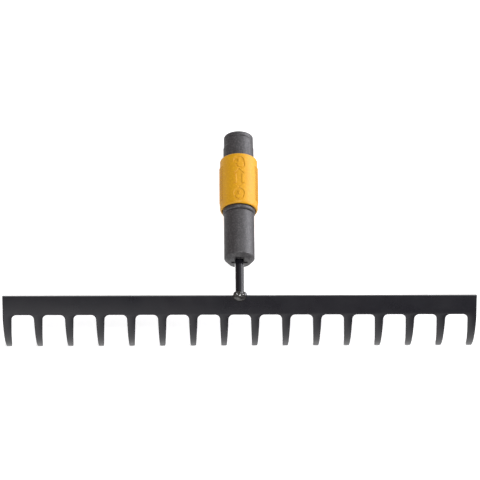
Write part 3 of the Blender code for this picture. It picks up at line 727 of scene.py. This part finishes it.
def body_radius(radii, height, turns):
    """Side guides below their top, a shallow arc groove near the mouth, keyways in the bore."""
    sideways = np.abs(np.cos(turns))
    if radii[0] > NECK_RADIUS + 0.2 and NECK_TOP < height <= MOUTH - 1:
        guide = ease(sideways, math.cos(GUIDE_ANGLES[0]), math.cos(GUIDE_ANGLES[1]))
        fall = 1 - ease(height, GUIDE_TOP - 0.5, GUIDE_TOP + 0.7)
        radii = radii + (GUIDE_RADIUS - BODY_RADIUS) * guide * fall
        off_front = np.degrees(np.abs(np.angle(np.exp(1j * (turns + math.pi / 2)))))
        middle = MOUTH_GROOVE - 1.0 * ease(off_front, 34.0, 50.0)
        ends = 1 - ease(off_front, 44.0, 50.0)
        radii = radii - MOUTH_GROOVE_DEPTH * ends * (1 - ease(np.abs(height - middle), 0.2, 0.55))
    if radii[0] < SOCKET_RADIUS + 1 and height > KEYWAY_BOTTOM:
        off_side = np.abs(np.sin(turns)) * SOCKET_RADIUS
        radii = radii + KEYWAY_DEPTH * (1 - ease(off_side, KEYWAY_HALF_WIDTH - 0.2, KEYWAY_HALF_WIDTH + 0.2))
    return radii


def make_connector_body():
    """Spigot, neck with the latch windows, guides, arc groove and the socket's bore."""
    profile = [(SPIGOT_CORING_RADIUS, SPIGOT_BOTTOM), (SPIGOT_RADIUS - 0.5, SPIGOT_BOTTOM)]
    profile += [(SPIGOT_RADIUS, SPIGOT_BOTTOM + 0.5), (SPIGOT_RADIUS, SNAP_LOW)]
    profile += [(SPIGOT_RADIUS - SNAP_DEPTH, SNAP_LOW), (SPIGOT_RADIUS - SNAP_DEPTH, SNAP_HIGH)]
    profile += [(SPIGOT_RADIUS, SNAP_HIGH)]
    profile += [(SPIGOT_RADIUS, NECK_BOTTOM), (NECK_RADIUS, NECK_BOTTOM), (NECK_RADIUS, NECK_TOP)]
    profile += [(BODY_RADIUS, NECK_TOP)]
    # Rows of points: far apart on plain stretches, close at the guides' top and at the arc groove.
    for bottom, top, step in (
        (NECK_TOP + 0.3, GUIDE_TOP - 0.8, 2.4),
        (GUIDE_TOP - 0.7, GUIDE_TOP + 1.2, 0.2),
        (GUIDE_TOP + 2.2, MOUTH_GROOVE - 2.1, 0.8),
        (MOUTH_GROOVE - 1.9, MOUTH_GROOVE + 1.1, 0.14),
    ):
        profile += [(BODY_RADIUS, height) for height in np.arange(bottom, top, step)]
    profile += round_edge((BODY_RADIUS - 1.0, MOUTH - 1.0), 1.0, 0, math.pi / 2, 8)
    profile += [(SOCKET_RADIUS + SOCKET_CHAMFER, MOUTH), (SOCKET_RADIUS, MOUTH - SOCKET_CHAMFER)]
    bore_rows = (150.0, 140.0, 130.0, KEYWAY_BOTTOM + 0.5, KEYWAY_BOTTOM - 0.1, 110.0, SOCKET_FLOOR)
    profile += [(SOCKET_RADIUS, height) for height in bore_rows]
    profile += [(0.0, SOCKET_FLOOR), (0.0, SPIGOT_CORING_TOP), (SPIGOT_CORING_RADIUS, SPIGOT_CORING_TOP)]
    body = turned("connector_body_moulded", profile, SOCKET, even_turns(176), body_radius)
    windows = []
    for side in (-1, 1):
        across = (-WINDOW_HALF_WIDTH, WINDOW_HALF_WIDTH)
        reach = sorted(side * end for end in WINDOW_REACH)
        windows.append(block(f"cut_window_{side}", across, reach, WINDOW_HEIGHTS, SOCKET))
    combine(body, windows, "DIFFERENCE")
    body.data.shade_smooth()
    body.data.set_sharp_from_angle(angle=math.radians(38.0))
    return finish_piece(body, "grey_plastic", "root", ["connector_body"])


# Locking sleeve, whose outside is a height field over the turn and the height


def box_distance(u, v, middle, half, corner):
    """Signed distance to a box with round corners."""
    across = np.abs(u - middle[0]) - (half[0] - corner)
    along = np.abs(v - middle[1]) - (half[1] - corner)
    outside = np.hypot(np.maximum(across, 0), np.maximum(along, 0))
    return outside + np.minimum(np.maximum(across, along), 0) - corner


def path_distance(u, v, path):
    """Distance to a run of straight strokes."""
    nearest = np.full(np.shape(u), np.inf)
    for (u0, v0), (u1, v1) in zip(path, path[1:]):
        du, dv = u1 - u0, v1 - v0
        share = np.clip(((u - u0) * du + (v - v0) * dv) / (du * du + dv * dv), 0, 1)
        nearest = np.minimum(nearest, np.hypot(u - u0 - share * du, v - v0 - share * dv))
    return nearest


def polygon_distance(u, v, corners):
    """Signed distance to a closed outline, negative inside."""
    edge = path_distance(u, v, corners + corners[:1])
    inside = np.zeros(np.shape(u), bool)
    for (u0, v0), (u1, v1) in zip(corners, corners[1:] + corners[:1]):
        crosses = (v0 > v) != (v1 > v)
        reach = u0 + (v - v0) * (u1 - u0) / ((v1 - v0) or 1e-9)
        inside ^= crosses & (u < reach)
    return np.where(inside, -edge, edge)


def padlock_body(u, v, middle, low):
    """A round lock case cut straight at its low side, with its keyhole left standing."""
    case = np.maximum(np.hypot(u, v - middle) - LOCK_CASE_RADIUS, low - v)
    round_hole = np.hypot(u, v - middle - 1.5) - 1.1
    hole = np.minimum(round_hole, box_distance(u, v, (0, middle + 0.2), (0.6, 1.5), 0.4))
    return np.maximum(case, -hole)


def pictogram_distance(u, v):
    """Signed distance to the sunk signs: an open padlock, a two-way arrow and a closed padlock."""
    ring = np.abs(np.hypot(u, v - CLOSED_SHACKLE) - SHACKLE_RADIUS) - SIGN_STROKE
    closed_shackle = np.maximum(ring, v - CLOSED_LOCK_LOW - 0.1)
    closed = np.minimum(padlock_body(u, v, CLOSED_LOCK, CLOSED_LOCK_LOW), closed_shackle)
    middle_u, middle_v = OPEN_SHACKLE
    swing = [(middle_u + x, middle_v + y) for x, y in arc(SHACKLE_RADIUS, 0, -3.0, 11)]
    open_shackle = path_distance(u, v, [(4.4, OPEN_LOCK_LOW + 0.6)] + swing) - SIGN_STROKE
    opened = np.minimum(padlock_body(u, v, OPEN_LOCK, OPEN_LOCK_LOW), open_shackle)
    low, high = ARROW_ENDS
    side = [(0, high), (ARROW_HALF_HEAD, high - ARROW_HEAD), (ARROW_HALF_SHAFT, high - ARROW_HEAD)]
    side += [(ARROW_HALF_SHAFT, low + ARROW_HEAD), (ARROW_HALF_HEAD, low + ARROW_HEAD), (0, low)]
    arrow = side + [(-across, along) for across, along in reversed(side[1:-1])]
    return np.minimum(np.minimum(closed, opened), polygon_distance(u, v, arrow))


def sleeve_outside(heights, turns):
    """The outer radius on a grid of heights and turns, and how much painted shade each point gets in the grip
    grooves and along the signs' edges.
    """
    height, turn = np.meshgrid(heights, turns, indexing="ij")
    share = (height - SLEEVE_BOTTOM) / (SLEEVE_TOP - SLEEVE_BOTTOM)
    radius = SLEEVE_LOW_RADIUS + (SLEEVE_TOP_RADIUS - SLEEVE_LOW_RADIUS) * share
    into_low = np.clip(SLEEVE_BOTTOM + SLEEVE_LOW_ROUND - height, 0, SLEEVE_LOW_ROUND)
    low_drop = SLEEVE_LOW_ROUND - np.sqrt(SLEEVE_LOW_ROUND**2 - into_low**2)
    into_top = np.clip(height - SLEEVE_TOP + SLEEVE_TOP_ROUND, 0, SLEEVE_TOP_ROUND)
    top_drop = SLEEVE_TOP_ROUND - np.sqrt(SLEEVE_TOP_ROUND**2 - into_top**2)
    radius -= SLEEVE_LOW_ROUND_DEPTH * low_drop + top_drop

    off_side = np.arccos(np.clip(np.abs(np.cos(turn)), 0, 1)) * SLEEVE_LOW_RADIUS
    pad_middle = (0, (GRIP_BOTTOM + GRIP_TOP) / 2)
    pad_half = (GRIP_HALF_ANGLE * SLEEVE_LOW_RADIUS, (GRIP_TOP - GRIP_BOTTOM) / 2)
    on_pad = 1 - ease(box_distance(off_side, height, pad_middle, pad_half, GRIP_CORNER), -0.55, 0.05)
    ridge = 0.5 + 0.5 * np.cos(2 * math.pi * (height - GRIP_BOTTOM) / GRIP_PITCH)
    pad_radius = GRIP_RADIUS - GRIP_GROOVE_DEPTH * (1 - ridge**0.6)
    radius = radius + on_pad * (pad_radius - radius)

    off_front = np.angle(np.exp(1j * (turn + math.pi / 2)))
    sign = pictogram_distance(off_front * 16.8, height)
    sign = np.where(np.abs(off_front) < SIGN_HALF_ANGLE, sign, 9.0)
    # Painted shade along the edges of the sunk signs.
    sign_edge_shade = 0.45 * (1 - ease(np.abs(sign), 0.05, 0.32))
    # Painted shade share: most in the grip grooves' bottoms, some along the signs' edges.
    groove_shade = np.maximum(on_pad * (1 - ridge), sign_edge_shade)
    return radius - SIGN_DEPTH * (1 - ease(sign, -0.17, 0.13)), groove_shade


def sleeve_turns():
    """Columns: close together across the signs, wider elsewhere."""
    fine = np.arange(-0.36, 0.3601, 0.0135)
    coarse = np.linspace(0.36, 2 * math.pi - 0.36, 104)[1:-1]
    return np.concatenate([fine, coarse]) - math.pi / 2


def make_locking_sleeve():
    """The outside from the height field, the bore with its flange, and notches for the guide lugs."""
    turns = sleeve_turns()
    quarter = np.linspace(0, math.pi / 2, 9)[1:]
    rounding = SLEEVE_BOTTOM + SLEEVE_LOW_ROUND * (1 - np.cos(quarter))
    middle = np.arange(SLEEVE_BOTTOM + SLEEVE_LOW_ROUND + 0.25, SLEEVE_TOP - SLEEVE_TOP_ROUND - 0.05, 0.24)
    top = SLEEVE_TOP - SLEEVE_TOP_ROUND * (1 - np.sin(np.linspace(0, math.pi / 2, 8)))
    heights = np.concatenate([[SLEEVE_BOTTOM], rounding, middle, top])
    outside, groove_shade = sleeve_outside(heights, turns)
    inner = [(SLEEVE_BORE + 0.35, SLEEVE_TOP), (SLEEVE_BORE, SLEEVE_TOP - 0.35), (SLEEVE_BORE, FLANGE_TOP)]
    inner += [(FLANGE_BORE, FLANGE_TOP), (FLANGE_BORE, FLANGE_BOTTOM), (SLEEVE_BORE + 0.1, FLANGE_BOTTOM)]
    inner += [(SLEEVE_BORE + 0.1, SLEEVE_BOTTOM + 0.5), (SLEEVE_BORE + 0.45, SLEEVE_BOTTOM + 0.05)]
    notch = np.abs(np.sin(turns)) * LUG_OUTER < LUG_HALF_WIDTH + FIT
    rings = list(zip(outside, heights))
    for radius, height in inner:
        rings.append((np.where(notch & (radius < LUG_OUTER), LUG_OUTER + 0.45, radius), height))
    points = [ring_points(radii, turns, height) for radii, height in rings]
    faces = grid_faces(len(rings), len(turns))
    sleeve = add_mesh("locking_sleeve_moulded", np.concatenate(points), faces, SOCKET)
    # Stores the painted shade share on the outside's points; the bore's points get none.
    shade = sleeve.data.attributes.new("groove_shade", "FLOAT", "POINT")
    shade.data.foreach_set("value", np.pad(groove_shade.ravel(), (0, len(inner) * len(turns))))
    return finish_piece(sleeve, "orange_plastic", "sleeve", ["locking_sleeve"])


# Spring


def make_spring():
    """A coil of round wire with close end turns; this mesh keeps one length and does not shorten as the sleeve
    slides.
    """
    low = SPRING_BOTTOM + FIT + SPRING_WIRE_RADIUS
    high = SPRING_TOP - FIT - SPRING_WIRE_RADIUS
    share = np.linspace(0, 1, round(SPRING_TURNS * 40) + 1)
    turn = 2 * math.pi * SPRING_TURNS * share
    height = low + (high - low) * (share - 0.12 * np.sin(2 * math.pi * share))
    middle = np.stack([SPRING_COIL_RADIUS * np.cos(turn), SPRING_COIL_RADIUS * np.sin(turn), height], 1)
    ahead = np.gradient(middle, axis=0)
    ahead /= np.linalg.norm(ahead, axis=1)[:, None]
    outward = np.stack([np.cos(turn), np.sin(turn), 0 * turn], 1)
    up = np.cross(ahead, outward)
    sides = 12
    rings = []
    for k in range(sides):
        around = 2 * math.pi * k / sides
        rings.append(middle + SPRING_WIRE_RADIUS * (math.cos(around) * outward + math.sin(around) * up))
    points = np.stack(rings, 1).reshape(-1, 3)
    faces = []
    for row in range(0, (len(middle) - 1) * sides, sides):
        for k in range(sides):
            after = (k + 1) % sides
            faces.append([row + k, row + after, row + sides + after, row + sides + k])
    faces += [list(range(sides)), list(range(len(points) - sides, len(points)))]
    spring = add_mesh("sleeve_spring_coil", points, faces, SOCKET)
    spring.data.materials.append(MATERIALS["spring_steel"])
    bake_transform(spring)
    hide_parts("sleeve_spring")


def dress_cad_nodes():
    """Pieces whose CAD shape is right get a full material."""
    slots = {row["node"]: row["material_slot"] for row in frame["record"]["subparts"]}
    for name in CARRIED:
        node = frame["nodes"][name]
        node.data.materials.clear()
        node.data.materials.append(MATERIALS[slots[name]])


# Stage, light and camera


def make_floor():
    """A white table that glows a little, as a light table does, so that shadows on it are faint."""
    mesh = bpy.data.meshes.new("floor")
    half = 6.0
    corners = [(-half, -half, 0), (half, -half, 0), (half, half, 0), (-half, half, 0)]
    mesh.from_pydata(corners, [], [[0, 1, 2, 3]])
    floor = bpy.data.objects.new("floor", mesh)
    floor.location.z = -0.0002
    bpy.context.scene.collection.objects.link(floor)
    made, _, shader = node_material("floor_white")
    shader.inputs["Base Color"].default_value = (0.8, 0.8, 0.8, 1.0)
    shader.inputs["Roughness"].default_value = 1.0
    shader.inputs["Specular IOR Level"].default_value = 0.0
    shader.inputs["Emission Color"].default_value = (1.0, 1.0, 1.0, 1.0)
    shader.inputs["Emission Strength"].default_value = 0.6
    mesh.materials.append(made)
    floor.visible_glossy = False


def add_area_light(name, direction, distance, size, power, colour=(1, 1, 1)):
    """A softbox that faces the socket from a direction."""
    light = bpy.data.lights.new(name, "AREA")
    light.shape = "RECTANGLE"
    light.size, light.size_y = size
    light.energy = power
    light.color = colour
    lamp = bpy.data.objects.new(name, light)
    toward = Vector(direction).normalized()
    lamp.location = SOCKET @ Vector((0, 0, 60 * MM)) + toward * distance
    lamp.rotation_euler = toward.to_track_quat("Z", "Y").to_euler()
    bpy.context.scene.collection.objects.link(lamp)


def make_world():
    """Studio walls seen by direction: each soft patch lies over those before it."""
    world = bpy.data.worlds.new("studio")
    world.use_nodes = True
    tree = world.node_tree
    place = tree.nodes.new("ShaderNodeTexCoord")
    colour = STUDIO_TONE
    for direction, outer, inner, tone in STUDIO_PATCHES:
        facing = tree.nodes.new("ShaderNodeVectorMath")
        facing.operation = "DOT_PRODUCT"
        facing.inputs[1].default_value = Vector(direction).normalized()
        tree.links.new(place.outputs["Generated"], facing.inputs[0])
        limits = (math.cos(math.radians(outer)), math.cos(math.radians(inner)))
        share = add_range(tree, facing.outputs["Value"], *limits, 0.0, 1.0)
        colour = add_mix(tree, share, colour, tone)
    tree.links.new(colour, tree.nodes["Background"].inputs["Color"])
    bpy.context.scene.world = world


def make_camera():
    """A long lens that looks steeply down at the head, turned and rolled a little."""
    sight = Vector((0, math.cos(VIEW_ELEVATION), -math.sin(VIEW_ELEVATION)))
    rise = Vector((0, math.sin(VIEW_ELEVATION), math.cos(VIEW_ELEVATION)))
    target = EDGE + rise * VIEW_RISE + Vector((VIEW_ASIDE, 0, 0))
    camera = bpy.data.objects.new("camera", bpy.data.cameras.new("camera"))
    camera.data.lens = LENS
    camera.data.sensor_width = 36.0
    camera.data.clip_end = 50.0
    across = Vector((1, 0, 0))
    sight = Matrix.Rotation(-VIEW_YAW, 3, rise) @ sight
    across = Matrix.Rotation(-VIEW_YAW, 3, rise) @ across
    roll = Matrix.Rotation(VIEW_ROLL, 3, sight)
    camera.location = target - sight * VIEW_DISTANCE
    turn = Matrix((roll @ across, roll @ rise, -sight)).transposed()
    camera.rotation_euler = turn.to_euler()
    bpy.context.scene.collection.objects.link(camera)
    bpy.context.scene.camera = camera


# CAD nodes whose shape is kept as it is.
CARRIED = [
    "tang_core_left",
    "tang_core_right",
    "tang_cross_pin",
    "ferrule_snap_ring",
    "socket_pad",
    "spring_stop_washer",
    "sleeve_cam_ring",
    "spring_thrust_washer",
    "latch_pawl_front",
    "latch_pawl_rear",
]

MATERIALS = make_materials()
make_camera()
make_rake_plate()
make_tang_rod()
make_weld_bead()
make_ferrule()
make_base_ring()
make_connector_body()
make_locking_sleeve()
make_spring()
dress_cad_nodes()
make_floor()
make_world()
add_area_light("top", (0.04, 0.10, 1.0), 3.0, (1.0, 0.55), 38.0)
add_area_light("rim", (0.94, -0.06, 0.34), 2.0, (1.4, 0.34), 13.0, (0.97, 0.98, 1.0))
bpy.context.scene.view_settings.view_transform = "Standard"
